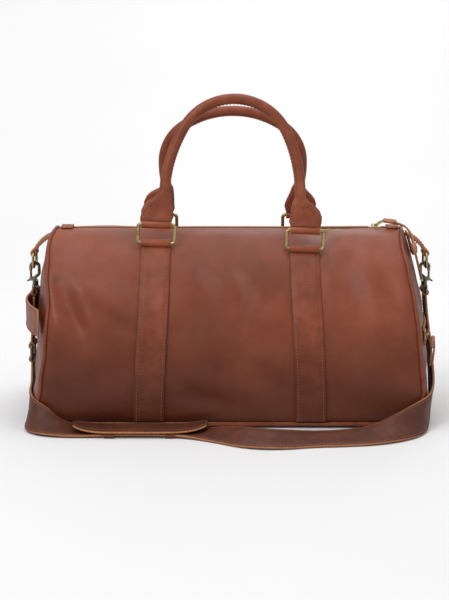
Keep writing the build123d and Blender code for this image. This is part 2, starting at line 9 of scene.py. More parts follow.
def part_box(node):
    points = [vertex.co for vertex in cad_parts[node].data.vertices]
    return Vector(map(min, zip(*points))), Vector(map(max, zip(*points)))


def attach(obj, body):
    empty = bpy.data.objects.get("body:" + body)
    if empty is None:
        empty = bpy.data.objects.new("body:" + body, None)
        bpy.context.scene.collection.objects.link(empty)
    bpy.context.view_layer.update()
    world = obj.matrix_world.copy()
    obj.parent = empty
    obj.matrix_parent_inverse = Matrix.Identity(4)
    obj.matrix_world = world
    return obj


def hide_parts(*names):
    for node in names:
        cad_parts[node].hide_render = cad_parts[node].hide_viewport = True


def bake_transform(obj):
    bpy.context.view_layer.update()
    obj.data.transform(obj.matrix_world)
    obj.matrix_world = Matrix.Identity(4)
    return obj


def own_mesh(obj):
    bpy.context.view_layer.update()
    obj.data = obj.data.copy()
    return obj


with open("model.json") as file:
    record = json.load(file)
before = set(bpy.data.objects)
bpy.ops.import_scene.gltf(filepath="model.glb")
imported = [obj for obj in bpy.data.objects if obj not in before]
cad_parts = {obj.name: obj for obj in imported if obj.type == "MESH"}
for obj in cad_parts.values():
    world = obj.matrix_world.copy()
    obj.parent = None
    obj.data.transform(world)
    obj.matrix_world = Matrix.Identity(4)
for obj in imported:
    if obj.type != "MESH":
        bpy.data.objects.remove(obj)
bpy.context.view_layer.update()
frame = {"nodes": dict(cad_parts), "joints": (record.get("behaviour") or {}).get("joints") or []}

# A leather duffel bag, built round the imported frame: metres, +X along the bag, -Y its front, +Z up.

scene = bpy.context.scene
joints = {j["name"]: j for j in frame["joints"]}

# ---- the camera ----

CAMERA_AIM = Vector((-0.007, -0.127, 0.166))
CAMERA_DISTANCE, CAMERA_RISE = 2.2, radians(10.0)
LENS = 105.6


def make_camera():
    data = bpy.data.cameras.new("camera")
    data.lens = LENS
    camera = bpy.data.objects.new("camera", data)
    scene.collection.objects.link(camera)
    away = Vector((0, -cos(CAMERA_RISE), sin(CAMERA_RISE)))
    camera.location = CAMERA_AIM + away * CAMERA_DISTANCE
    camera.rotation_euler = away.to_track_quat("Z", "Y").to_euler()
    scene.camera = camera


make_camera()

# ---- mesh helpers ----


def new_mesh(name, verts, faces, material, body, slots=None):
    """A mesh piece that rides on body, or on none if it is to blend.
    slots gives each face's material index."""
    mesh = bpy.data.meshes.new(name)
    mesh.from_pydata([tuple(v) for v in verts], [], faces)
    obj = bpy.data.objects.new(name, mesh)
    scene.collection.objects.link(obj)
    for one in material if isinstance(material, (list, tuple)) else [material]:
        mesh.materials.append(one)
    for i, face in enumerate(mesh.polygons):
        face.use_smooth = True
        if slots:
            face.material_index = slots[i]
    mesh.update()
    if body:
        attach(obj, body)
    return obj


def grid(rows, wrap=False, caps=False, start=0):
    """Faces over equal rows of points. wrap closes each row, caps closes the first and last rows."""
    width = len(rows[0])
    faces = []
    for r in range(len(rows) - 1):
        for c in range(width if wrap else width - 1):
            n = (c + 1) % width
            a = start + r * width
            faces.append((a + c, a + n, a + width + n, a + width + c))
    if caps:
        faces.append(tuple(start + c for c in reversed(range(width))))
        last = start + (len(rows) - 1) * width
        faces.append(tuple(last + c for c in range(width)))
    return faces


def flat(rows):
    return [p for row in rows for p in row]


def stand_for(piece, node):
    """Hides the CAD node, so that the piece is seen in its place. The piece is not used here."""
    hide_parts(node)


def side_name(side, names=("left", "right")):
    return names[side > 0]


def middle(low, high, axis):
    return (low[axis] + high[axis]) / 2


def modify(obj, kind, **values):
    modifier = obj.modifiers.new(kind.lower(), kind)
    for key, value in values.items():
        setattr(modifier, key, value)


def settle(obj):
    """Applies the piece's modifiers."""
    bpy.context.view_layer.update()
    graph = bpy.context.evaluated_depsgraph_get()
    mesh = bpy.data.meshes.new_from_object(obj.evaluated_get(graph))
    obj.modifiers.clear()
    obj.data = mesh
    return obj


def spline_points(points, resolution=12):
    """Points along the smooth line that has these as its control points."""
    curve = bpy.data.curves.new("route", "CURVE")
    curve.dimensions = "3D"
    curve.resolution_u = resolution
    spline = curve.splines.new("NURBS")
    spline.points.add(len(points) - 1)
    for p, place in zip(spline.points, points):
        p.co = (*place, 1)
    spline.order_u = 3
    spline.use_endpoint_u = True
    obj = bpy.data.objects.new("route", curve)
    mesh = bpy.data.meshes.new_from_object(obj)
    found = [v.co.copy() for v in mesh.vertices]
    bpy.data.objects.remove(obj)
    return found


def tangents(points):
    last = len(points) - 1
    return [(points[min(i + 1, last)] - points[max(i - 1, 0)]).normalized() for i in range(last + 1)]


def smooth_step(value, low, high):
    t = min(max((value - low) / (high - low), 0), 1)
    return t * t * (3 - 2 * t)


def mix(a, b, t):
    return a + (b - a) * t


def spread(low, high, steps):
    """Numbers from low to high in equal steps, both ends included."""
    return [mix(low, high, i / steps) for i in range(steps + 1)]


def rounded(turn, power):
    """The sine or cosine of a squarish oval: value kept in sign, lifted to a power below one."""
    return abs(turn) ** power * (1 if turn >= 0 else -1)


def wobble(x, y, z, scale, seed=0.0):
    """Smooth noise from -1 to 1."""
    return noise.noise(Vector((x * scale + seed, y * scale - seed, z * scale + 2 * seed)))


# ---- materials ----


class Nodes:
    """A material's node tree, with short calls to build it."""

    def __init__(self, name):
        self.material = bpy.data.materials.new(name)
        self.material.use_nodes = True
        self.tree = self.material.node_tree
        self.shader = self.tree.nodes["Principled BSDF"]
        self.place = self.add("ShaderNodeTexCoord").outputs["Object"]

    def add(self, kind, settings=None, **inputs):
        node = self.tree.nodes.new(kind)
        for key, value in (settings or {}).items():
            setattr(node, key, value)
        for key, value in inputs.items():
            self.put(node.inputs[key.replace("_", " ")], value)
        return node

    def put(self, socket, value):
        if isinstance(value, bpy.types.NodeSocket):
            self.tree.links.new(value, socket)
        else:
            socket.default_value = value

    def scaled(self, x, y, z):
        return self.add("ShaderNodeMapping", Vector=self.place, Scale=(x, y, z)).outputs["Vector"]

    def noise(self, scale, detail=4.0, rough=0.55, place=None):
        place = place or self.place
        made = self.add("ShaderNodeTexNoise", Vector=place, Scale=scale, Detail=detail, Roughness=rough)
        return made.outputs["Fac"]

    def ramp(self, value, *stops):
        node = self.add("ShaderNodeValToRGB", Fac=value)
        elements = node.color_ramp.elements
        while len(elements) < len(stops):
            elements.new(0.5)
        for element, (where, color) in zip(elements, stops):
            element.position = where
            element.color = (*color, 1) if len(color) == 3 else color
        return node.outputs["Color"]

    def level(self, value, low, high, to_low=0.0, to_high=1.0):
        node = self.add("ShaderNodeMapRange", Value=value)
        for key, number in zip(("From Min", "From Max", "To Min", "To Max"), (low, high, to_low, to_high)):
            node.inputs[key].default_value = number
        return node.outputs["Result"]

    def blend(self, factor, a, b, kind="MIX"):
        node = self.add("ShaderNodeMix", {"data_type": "RGBA", "blend_type": kind})
        self.put(node.inputs["Factor"], factor)
        self.put(node.inputs[6], a if isinstance(a, bpy.types.NodeSocket) else (*a, 1))
        self.put(node.inputs[7], b if isinstance(b, bpy.types.NodeSocket) else (*b, 1))
        return node.outputs[2]

    def math(self, kind, a, b=0.0):
        node = self.add("ShaderNodeMath", {"operation": kind})
        self.put(node.inputs[0], a)
        self.put(node.inputs[1], b)
        return node.outputs[0]

    def bump(self, height, strength, distance, normal=None):
        node = self.add("ShaderNodeBump", Height=height, Strength=strength, Distance=distance)
        if normal:
            self.put(node.inputs["Normal"], normal)
        return node.outputs["Normal"]

    def edges(self, low=0.52, high=0.60):
        return self.level(self.add("ShaderNodeNewGeometry").outputs["Pointiness"], low, high)

    def finish(self, color, roughness, normal=None, **fixed):
        plain = not isinstance(color, bpy.types.NodeSocket)
        self.put(self.shader.inputs["Base Color"], (*color, 1) if plain else color)
        self.put(self.shader.inputs["Roughness"], roughness)
        if normal:
            self.put(self.shader.inputs["Normal"], normal)
        for key, value in fixed.items():
            self.shader.inputs[key.replace("_", " ")].default_value = value
        return self.material


def leather(name, deep, mid, high, cloud=7.0, gloss=0.42, wear=0.35, painted_low_shade=0.0):
    """Waxed pull-up leather: cloudy colour, fine pores, wrinkles and faint pale scuffs.
    The last argument paints shade into the low part of the bag, darker towards the base."""
    n = Nodes(name)
    clouds = n.noise(cloud, 5.0, 0.6)
    blotches = n.noise(cloud * 4, 4.0, 0.6)
    mixed = n.math("ADD", n.math("MULTIPLY", clouds, 0.7), n.math("MULTIPLY", blotches, 0.3))
    color = n.ramp(mixed, (0.28, deep), (0.50, mid), (0.74, high))
    scratch_place = n.scaled(14, 14, 150)
    scuffs = n.level(n.noise(3.0, 6.0, 0.75, scratch_place), 0.66, 0.80)
    spots = n.level(n.noise(cloud * 1.4, 2.0, 0.5), 0.52, 0.68)
    scuffs = n.math("MULTIPLY", scuffs, spots)
    color = n.blend(n.math("MULTIPLY", scuffs, 0.35), color, tuple(min(1, c * 1.7) for c in high))
    color = n.blend(n.math("MULTIPLY", n.edges(), wear), color, tuple(min(1, c * 1.5) for c in high))
    # Painted shade: the colour darkens towards the base of the bag, where less light falls.
    if painted_low_shade:
        height = n.add("ShaderNodeSeparateXYZ", Vector=n.place).outputs["Z"]
        low = n.level(n.math("ADD", height, n.math("MULTIPLY", clouds, 0.05)), 0.175, 0.075)
        color = n.blend(n.math("MULTIPLY", low, painted_low_shade), color, tuple(c * 0.35 for c in deep))
    grain = n.add("ShaderNodeTexVoronoi", Vector=n.place, Scale=1100.0).outputs["Distance"]
    wrinkle = n.noise(90.0, 6.0, 0.65, n.scaled(1, 1, 0.6))
    normal = n.bump(wrinkle, 0.22, 0.0016)
    normal = n.bump(grain, 0.16, 0.0004, normal)
    rough = n.level(n.noise(cloud * 3, 4.0), 0.3, 0.75, gloss, gloss + 0.16)
    return n.finish(color, rough, normal, Specular_IOR_Level=0.28)


def raw_edge(name):
    """The cut edge of thick leather: orange fibres with darker layers."""
    n = Nodes(name)
    fibres = n.noise(420.0, 5.0, 0.7)
    dark, orange, pale = (0.20, 0.065, 0.022), (0.36, 0.135, 0.045), (0.50, 0.22, 0.085)
    color = n.ramp(fibres, (0.3, dark), (0.55, orange), (0.8, pale))
    return n.finish(color, 0.72, n.bump(fibres, 0.4, 0.0006))


def brass(name, bright, dark, patina):
    """Antique brass: bright where rubbed, brown in the hollows."""
    n = Nodes(name)
    stain = n.math("ADD", n.noise(160.0, 5.0, 0.65), n.math("MULTIPLY", n.noise(900.0, 2.0), 0.25))
    color = n.ramp(stain, (patina, dark), (patina + 0.22, bright))
    color = n.blend(n.edges(0.50, 0.58), color, tuple(min(1, c * 1.35) for c in bright))
    rough = n.level(stain, 0.4, 0.9, 0.42, 0.24)
    return n.finish(color, rough, n.bump(n.noise(700.0, 3.0), 0.08, 0.0003), Metallic=0.95)


def woven(name, dark, light, pitch=0.0011, gloss=0.85):
    """Plain woven tape or cloth."""
    n = Nodes(name)
    threads = 1 / pitch / 6.3
    over = n.add("ShaderNodeTexWave", {"bands_direction": "X"}, Vector=n.place, Scale=threads)
    across = n.add("ShaderNodeTexWave", {"bands_direction": "DIAGONAL"}, Vector=n.place, Scale=threads)
    weave = n.math("MULTIPLY", over.outputs["Fac"], across.outputs["Fac"])
    color = n.blend(n.math("MULTIPLY", weave, n.noise(60.0)), dark, light)
    return n.finish(color, gloss, n.bump(weave, 0.5, 0.0005), Sheen_Weight=0.2)


def thread(name):
    n = Nodes(name)
    twist = n.noise(1500.0, 2.0)
    color = n.ramp(twist, (0.35, (0.13, 0.045, 0.02)), (0.7, (0.30, 0.12, 0.055)))
    return n.finish(color, 0.6, n.bump(twist, 0.4, 0.0003))


def floor_material():
    n = Nodes("floor")
    color = n.ramp(n.noise(1.5, 2.0), (0.3, (0.655, 0.655, 0.658)), (0.7, (0.67, 0.67, 0.673)))
    return n.finish(color, 0.7, Specular_IOR_Level=0.2)


# Each leather: its deep, middle and high colours, cloud size, gloss, wear and, for body and trim, the strength
# of the shade painted towards the base.
SKIN = leather(
    "body_leather", (0.105, 0.020, 0.0065), (0.165, 0.034, 0.012), (0.235, 0.058, 0.024), 4.5, painted_low_shade=0.55
)
END_SKIN = leather("end_leather", (0.080, 0.015, 0.005), (0.125, 0.026, 0.009), (0.180, 0.044, 0.018), 9.0)
TRIM = leather(
    "trim_leather", (0.105, 0.02, 0.0065), (0.165, 0.035, 0.0125), (0.245, 0.062, 0.026), 16.0, 0.42, 0.3, 0.5
)
ROLLED = leather(
    "rolled_leather", (0.115, 0.023, 0.0075), (0.180, 0.040, 0.0145), (0.270, 0.072, 0.030), 22.0, 0.40, 0.3
)
STRAP = leather(
    "strap_leather", (0.044, 0.011, 0.005), (0.072, 0.018, 0.008), (0.118, 0.033, 0.015), 20.0, 0.5, 0.35
)
PIPING = leather(
    "piping_leather", (0.100, 0.019, 0.0065), (0.150, 0.031, 0.011), (0.215, 0.052, 0.021), 30.0, 0.46, 0.2
)
LACE = leather("lace_leather", (0.11, 0.04, 0.02), (0.22, 0.09, 0.045), (0.36, 0.17, 0.095), 60.0, 0.5, 0.5)
BOARD = leather(
    "base_board_fibre", (0.02, 0.018, 0.016), (0.035, 0.03, 0.027), (0.06, 0.052, 0.045), 40.0, 0.7, 0.1
)
RAW = raw_edge("raw_leather_edge")
BRASS = brass("antique_brass", (0.36, 0.27, 0.115), (0.075, 0.047, 0.022), 0.42)
DARK_BRASS = brass("dark_brass", (0.20, 0.165, 0.11), (0.030, 0.024, 0.018), 0.50)
TEETH = brass("zip_brass", (0.48, 0.36, 0.17), (0.12, 0.08, 0.04), 0.36)
TAPE = woven("zip_tape_cloth", (0.018, 0.010, 0.008), (0.055, 0.032, 0.024))
LINING = woven("lining_cloth", (0.10, 0.07, 0.045), (0.20, 0.15, 0.10), 0.0009)
ROPE = woven("rope_cotton", (0.40, 0.34, 0.25), (0.66, 0.60, 0.48), 0.002)
THREAD = thread("waxed_thread")

# ---- the shoulder strap's route, in the same points as its solid ----

STRAP_WIDTH, STRAP_THICK = 0.038, 0.0026
STRAP_ROUTE = [
    ((0.257, 0, 0.1526), (0, -1, 0)),
    ((0.2585, -0.003, 0.13), (0, -1, 0.1)),
    ((0.261, -0.01, 0.105), (0, -0.97, 0.25)),
    ((0.2625, -0.025, 0.078), (0, -0.86, 0.5)),
    ((0.2625, -0.049, 0.053), (0.05, -0.68, 0.72)),
    ((0.26, -0.08, 0.034), (0.1, -0.42, 0.9)),
    ((0.254, -0.113, 0.024), (0.05, -0.1, 0.99)),
    ((0.24, -0.145, 0.019), (-0.2, 0.35, 0.9)),
    ((0.215, -0.172, 0.0142), (-0.25, 0.72, 0.62)),
    ((0.18, -0.191, 0.0089), (-0.1, 0.93, 0.36)),
    ((0.141, -0.199, 0.0068), (0, 0.96, 0.28)),
    ((0.1, -0.202, 0.0066), (0, 0.97, 0.25)),
    ((0.06, -0.215, 0.0096), (0.05, 0.93, 0.38)),
    ((0.025, -0.211, 0.0104), (0.1, 0.91, 0.42)),
    ((-0.005, -0.186, 0.0083), (0.2, 0.93, 0.28)),
    ((-0.038, -0.163, 0.0038), (0.08, 0.99, 0.05)),
    ((-0.072, -0.154, 0.0034), (0, 1, 0)),
    ((-0.112, -0.153, 0.0034), (0, 1, 0)),
    ((-0.152, -0.153, 0.0034), (0, 1, 0)),
    ((-0.19, -0.1545, 0.004), (0, 0.99, 0.1)),
    ((-0.222, -0.153, 0.0098), (0.05, 0.92, 0.38)),
    ((-0.244, -0.142, 0.0174), (0.45, 0.45, 0.77)),
    ((-0.2545, -0.121, 0.02), (0.3, 0.1, 0.94)),
    ((-0.257, -0.094, 0.0206), (0.1, 0.02, 0.99)),
    ((-0.259, -0.062, 0.0208), (0, 0, 1)),
    ((-0.26, -0.03, 0.023), (0, -0.15, 0.98)),
    ((-0.2615, -0.009, 0.0295), (0, -0.55, 0.83)),
    ((-0.2623, 0.008, 0.041), (0, -0.93, 0.36)),
    ((-0.2625, 0.012, 0.052), (0, -1, 0)),
    ((-0.2624, 0.012, 0.0606), (0, -1, 0)),
]
BILLET_ROUTE = [
    ((-0.2625, 0.012, 0.0874), (0, -1, 0)),
    ((-0.2612, 0.0105, 0.104), (0, -1, 0)),
    ((-0.2589, 0.006, 0.121), (0, -1, 0)),
    ((-0.2572, 0.002, 0.137), (0, -1, 0)),
    ((-0.257, 0, 0.1526), (0, -1, 0)),
]


def strap_frames(route):
    """Centre, edge direction and face direction along a flat strap's smooth line."""
    centres = spline_points([Vector(c) for c, _ in route])
    edges = spline_points([Vector(c) + Vector(e).normalized() * STRAP_WIDTH / 2 for c, e in route])
    made = []
    for centre, edge, along in zip(centres, edges, tangents(centres)):
        across = edge - centre
        across = (across - along * across.dot(along)).normalized()
        made.append((centre, across, along.cross(across).normalized()))
    return made


RIBBON_SECTION = [(-1, -0.5), (-0.97, -1), (-0.5, -1.0), (0, -1.0), (0.5, -1.0), (0.97, -1), (1, -0.5)]
RIBBON_SECTION += [(-a, -b) for a, b in RIBBON_SECTION]
RIBBON_EDGE_FACES = {0, 5, 6, 7, 12, 13}


def ribbon(name, frames, width, thick, body, material, edge=None):
    """A flat leather strap with softly rounded faces and raw edges."""
    rows = []
    for centre, across, face in frames:
        rows.append([centre + across * (a * width / 2) + face * (b * thick / 2) for a, b in RIBBON_SECTION])
    faces = grid(rows, wrap=True, caps=True)
    sides = len(RIBBON_SECTION)
    slots = [int(i % sides in RIBBON_EDGE_FACES) for i in range(len(faces) - 2)] + [1, 1]
    return new_mesh(name, flat(rows), faces, [material, edge or RAW], body, slots)


def strap_fold(bar, along, width, inner, outer, body, material, edge=None):
    """A strap's end folded round a bar: a leather ring of the strap's width."""
    turns = 24
    along = Vector(along).normalized()
    side = along.orthogonal().normalized()
    up = along.cross(side)
    rim = outer - inner
    section = [(-1, 0.25), (-0.96, 0), (0.96, 0), (1, 0.25), (1, 0.75), (0.96, 1), (-0.96, 1), (-1, 0.75)]
    rows = []
    for i in range(turns):
        turn = 2 * pi * i / turns
        out = side * cos(turn) + up * sin(turn)
        rows.append([Vector(bar) + along * (a * width / 2) + out * (inner + b * rim) for a, b in section])
    rows.append(rows[0])
    faces = grid(rows, wrap=True)
    count = len(section)
    wrapped = [tuple(i % (count * turns) for i in face) for face in faces]
    slots = [0 if i % count in (1, 5) else 1 for i in range(len(wrapped))]
    return new_mesh("fold", flat(rows[:-1]), wrapped, [material, edge or RAW], body, slots)


SHORTEST_RUN = 1e-7


def stitch_line(points, normals, pitch=0.0042, length=0.0028, lift=0.0002):
    """Stitches along a line: (place, direction, normal, length) of each."""
    made, carried = [], pitch / 2
    for a, b, normal in zip(points, points[1:], normals):
        run = (b - a).length
        if run < SHORTEST_RUN:
            continue
        along = (b - a) / run
        while carried < run:
            made.append((a + along * carried + normal * lift, along, normal))
            carried += pitch
        carried -= run
    return [(p, d, n, length) for p, d, n in made]


def sew(name, stitches, body):
    """One mesh of many small thread stitches."""
    radius = 0.00042
    verts, faces = [], []
    for place, along, normal, length in stitches:
        across = along.cross(normal).normalized()
        start = len(verts)
        verts += [place - along * length / 2 - normal * radius, place + along * length / 2 - normal * radius]
        for share in (-0.28, 0.28):
            for k in range(6):
                turn = 2 * pi * k / 6
                ring = across * cos(turn) * radius * 1.25 + normal * sin(turn) * radius
                verts.append(place + along * length * share + ring)
        for k in range(6):
            n = (k + 1) % 6
            a, b = start + 2 + k, start + 2 + n
            faces += [(start, b, a), (a, b, b + 6, a + 6), (start + 1, a + 6, b + 6)]
    return new_mesh(name, verts, faces, THREAD, body)


def sew_ribbon(name, frames, width, thick, body, inset=0.003, faces=(1,)):
    """A stitch row along both edges of a strap, on its named faces."""
    lines = []
    for face_side in faces:
        for side in (-1, 1):
            out, up = side * (width / 2 - inset), face_side * thick / 2
            points = [c + across * out + face * up for c, across, face in frames]
            lines += stitch_line(points, [face * face_side for _, _, face in frames])
    return sew(name, lines, body)


BAR_ROOM, FOLD_OUTER = 0.0019, 0.0045  # inner and outer radius of a strap end's fold
WIRE_RADIUS = 0.0018  # of the buckle and the swivel rings
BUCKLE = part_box("strap_buckle")
BUCKLE_X, BUCKLE_Y = middle(*BUCKLE, 0), middle(*BUCKLE, 1)
BUCKLE_BARS = (BUCKLE[0][2] + WIRE_RADIUS, BUCKLE[1][2] - WIRE_RADIUS)
STRAP_END_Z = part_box("swivel_ring_right")[0][2] + WIRE_RADIUS
CHAIN_X = STRAP_ROUTE[0][0][0]


def join(name, parts, body):
    """Joins mesh pieces into one that rides on body."""
    materials, verts, faces, slots = [], [], [], []
    for part in parts:
        base = len(verts)
        verts += [part.matrix_world @ v.co for v in part.data.vertices]
        index = []
        for m in part.data.materials:
            if m not in materials:
                materials.append(m)
            index.append(materials.index(m))
        for face in part.data.polygons:
            faces.append(tuple(base + v for v in face.vertices))
            slots.append(index[face.material_index])
    for part in parts:
        bpy.data.objects.remove(part)
    return new_mesh(name, verts, faces, materials, body, slots)


def strap_piece(name, frames, bars):
    """A run of the shoulder strap with a fold round the bar at each end."""
    parts = [ribbon("run", frames, STRAP_WIDTH, STRAP_THICK, None, STRAP)]
    for bar in bars:
        parts.append(strap_fold(bar, (0, 1, 0), STRAP_WIDTH, BAR_ROOM, FOLD_OUTER, None, STRAP))
    piece = join(name + "_leather", parts, None)
    stand_for(piece, name)
    return piece, sew_ribbon(name + "_stitches", frames, STRAP_WIDTH, STRAP_THICK, None, faces=(-1, 1))


# The heights on the hanging ends by the swivel rings: the top, and the strap's and the billet's.
HANG_TOP, STRAP_HANG, BILLET_HANG = 0.148, 0.075, 0.090


def shoulder_strap(path):
    made = []
    for name, run, side, bar, hang in (
        ("shoulder_strap", path, 1, BUCKLE_BARS[0], STRAP_HANG),
        ("strap_billet", strap_frames(BILLET_ROUTE), -1, BUCKLE_BARS[1], BILLET_HANG),
    ):
        x = side * CHAIN_X
        pieces = strap_piece(name, run, [(x, 0, STRAP_END_Z), (BUCKLE_X, BUCKLE_Y, bar)])
        for piece in pieces:
            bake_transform(piece)
        made += pieces
    return made[0], made[1:]


# ---- the laces on the zip pulls ----

LACE_SIZE = 0.0026
LACES = {
    "zip_thong_a": [
        (0.203, -0.003, 0.2505), (0.21, -0.009, 0.2505), (0.219, -0.017, 0.2485), (0.2295, -0.024, 0.2445),
        (0.2365, -0.029, 0.234), (0.239, -0.032, 0.219), (0.2425, -0.034, 0.205), (0.246, -0.035, 0.191),
        (0.25, -0.035, 0.178),
    ],
    "zip_thong_b": [
        (0.203, 0.002, 0.2485), (0.2095, -0.0035, 0.2475), (0.217, -0.0115, 0.2468), (0.2275, -0.0185, 0.2453),
        (0.2355, -0.0235, 0.2365), (0.2385, -0.027, 0.22), (0.2425, -0.029, 0.205), (0.246, -0.03, 0.19),
        (0.2495, -0.0305, 0.175),
    ],
    "pocket_thong_a": [
        (0.2585, -0.0965, 0.112), (0.26, -0.099, 0.106), (0.2595, -0.101, 0.097), (0.2585, -0.1015, 0.087),
        (0.2575, -0.101, 0.077),
    ],
    "pocket_thong_b": [
        (0.257, -0.092, 0.112), (0.2575, -0.094, 0.105), (0.2565, -0.0955, 0.096), (0.256, -0.095, 0.086),
        (0.2555, -0.094, 0.075),
    ],
}


def tube(name, points, radius_at, material, body, sides=10):
    """A round piece along points; radius_at gives its radius from 0 to 1 along it."""
    rows = []
    across = None
    for i, (p, along) in enumerate(zip(points, tangents(points))):
        across = across or along.cross(Vector((0.3, 0.2, 1))).normalized()
        across = (across - along * across.dot(along)).normalized()
        other = along.cross(across)
        r = radius_at(i / (len(points) - 1))
        turns = [2 * pi * k / sides for k in range(sides)]
        rows.append([p + across * cos(a) * r + other * sin(a) * r for a in turns])
    return new_mesh(name, flat(rows), grid(rows, wrap=True, caps=True), material, body)


def lace(node, body):
    points = spline_points([Vector(p) for p in LACES[node]], 8)
    piece = tube(node + "_lace", points, lambda t: LACE_SIZE / 2 * (1 + 0.05 * sin(t * 60)), LACE, body)
    stand_for(piece, node)
    length = sum((b - a).length for a, b in zip(points, points[1:]))
    return piece, points, length


def braid(name, start, end, thick, body):
    """A short plaited knot between two points."""
    strands, turns = 3, 3.2
    start, end = Vector(start), Vector(end)
    along = (end - start).normalized()
    side = along.orthogonal().normalized()
    other = along.cross(side)
    parts = []
    for s in range(strands):
        points = []
        for i in range(41):
            t = i / 40
            phase = 2 * pi * (turns * t + s / strands)
            swell = thick * (0.75 + 0.25 * sin(pi * t))
            sway = side * sin(phase) * 0.32 + other * sin(2 * phase) * 0.2
            points.append(start.lerp(end, t) + sway * swell)
        parts.append(tube(f"{name}_{s}", points, lambda t: thick * 0.24, LACE, body, 8))
    piece = join(name, parts, body)
    return piece


def zip_laces():
    laces = {node: lace(node, node.split("_")[0] + "_pull") for node in LACES}
    knot = braid("zip_pull_knot", (0.2015, -0.001, 0.25), (0.2165, -0.0125, 0.2495), 0.0062, "zip_pull")
    bead = braid("zip_pull_bead", (0.2385, -0.0305, 0.2235), (0.2405, -0.0315, 0.2125), 0.0075, "zip_pull")
    pocket_knot = braid(
        "pocket_pull_knot", (0.2585, -0.0955, 0.1135), (0.2575, -0.0985, 0.1), 0.0058, "pocket_pull"
    )
    for node, (piece, points, length) in laces.items():
        if node.startswith("zip"):
            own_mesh(piece)
    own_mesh(bead)


# ---- the bag's body ----

HALF_DEPTH = -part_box("front_panel")[0][1]
TOP_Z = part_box("front_panel")[1][2]
WAIST_Z, CROWN_RISE = 0.095, 0.146  # height of the widest point, and from there to the crown
BASE_CORNER, BASE_CORNER_Y = 0.018, 0.1049  # the base corner's radius and where it starts
HALF_BASE, SEAM_Z = 0.122, 0.0055
END_APEX_X, END_APEX_Z, END_RADIUS = 0.257, 0.070, 0.520
MOUTH_HALF = 0.008
MOUTH_TURN = acos(MOUTH_HALF / HALF_DEPTH)
LOWER_SHARE = 0.30  # the part of the way from base seam to mouth that lies below the waist
STRAP_X = 0.095
SKIN_THICK, END_THICK = 0.0022, 0.0020

# Soft folds of each side: two ends as (x, z), how wide, and how deep (below zero) or proud.
FRONT_FOLDS = [
    ((-0.06, 0.205), (0.05, 0.095), 0.02, -0.0048),
    ((-0.02, 0.225), (0.03, 0.15), 0.012, -0.003),
    ((0.02, 0.09), (0.07, 0.045), 0.018, -0.0032),
    ((-0.215, 0.18), (-0.185, 0.115), 0.013, -0.007),
    ((-0.235, 0.12), (-0.2, 0.08), 0.014, -0.0046),
    ((-0.19, 0.215), (-0.13, 0.16), 0.016, -0.0042),
    ((-0.175, 0.16), (-0.125, 0.125), 0.01, -0.0034),
    ((-0.205, 0.055), (-0.13, 0.075), 0.018, -0.0034),
    ((0.12, 0.232), (0.165, 0.15), 0.018, -0.0052),
    ((0.15, 0.12), (0.215, 0.06), 0.022, -0.0038),
    ((0.19, 0.215), (0.215, 0.14), 0.012, -0.0034),
    ((-0.06, 0.045), (0.01, 0.03), 0.014, -0.003),
    ((-0.01, 0.12), (-0.07, 0.07), 0.024, 0.0032),
]
REAR_FOLDS = [
    ((0.07, 0.2), (-0.03, 0.11), 0.02, -0.0032),
    ((0.215, 0.175), (0.18, 0.11), 0.014, -0.0042),
    ((-0.215, 0.19), (-0.17, 0.11), 0.016, -0.0036),
    ((-0.13, 0.22), (-0.15, 0.15), 0.016, -0.0026),
    ((-0.06, 0.06), (0.03, 0.045), 0.018, -0.0022),
    ((0.13, 0.09), (0.205, 0.05), 0.02, -0.0024),
]


# How far each end's front half slouches outward at given heights: (height, out).
SLOUCH = {
    -1: [
        (0, 0.007), (0.025, 0.006), (0.055, 0), (0.095, -0.005), (0.155, -0.006), (0.2, 0.001), (0.235, 0.007),
    ],
    1: [
        (0, 0.006), (0.04, 0.005), (0.09, 0.001), (0.115, 0), (0.16, -0.002), (0.195, -0.005), (0.235, -0.01),
    ],
}


def slouch(side, y, z):
    """The front half of each end leans and sags away from the plain bulge."""
    table = SLOUCH[side]
    out = table[0][1]
    for (z0, a), (z1, b) in zip(table, table[1:]):
        if z >= z0:
            out = mix(a, b, smooth_step(z, z0, z1))
    return out * smooth_step(-y, -0.03, 0.09)


def end_reach(y, z, side=0):
    """How far an end's skin reaches; side 0 is the plain bulge."""
    plain = END_APEX_X - (y * y + (z - END_APEX_Z) ** 2) / (2 * END_RADIUS)
    return plain + (slouch(side, y, z) if side else 0.0)


def profile(v):
    """Depth and height up one side: v is 0 at the base seam and 1 at the mouth."""
    if v >= LOWER_SHARE:
        turn = (v - LOWER_SHARE) / (1 - LOWER_SHARE) * MOUTH_TURN
        return HALF_DEPTH * cos(turn), WAIST_Z + CROWN_RISE * sin(turn)
    z = mix(SEAM_Z, WAIST_Z, v / LOWER_SHARE)
    if z < BASE_CORNER:
        return BASE_CORNER_Y + sqrt(BASE_CORNER**2 - (BASE_CORNER - z) ** 2), z
    return mix(HALF_BASE, HALF_DEPTH, z / WAIST_Z), z


def bell(offset):
    """1 at nothing, falling softly to almost nothing at 2."""
    return exp(-(offset**2))


def fold_depth(x, z, folds):
    """How far the folds push the skin out: each a valley with a low ridge beside it."""
    total = 0.0
    for (x1, z1), (x2, z2), wide, deep in folds:
        along = Vector((x2 - x1, z2 - z1))
        t = min(max(Vector((x - x1, z - z1)).dot(along) / along.length_squared, 0), 1)
        off = hypot(x - x1 - along.x * t, z - z1 - along.y * t) / wide
        fade = sin(pi * (0.12 + 0.76 * t))
        total += deep * fade * (bell(off) - 0.35 * bell(off - 1.7))
    return total


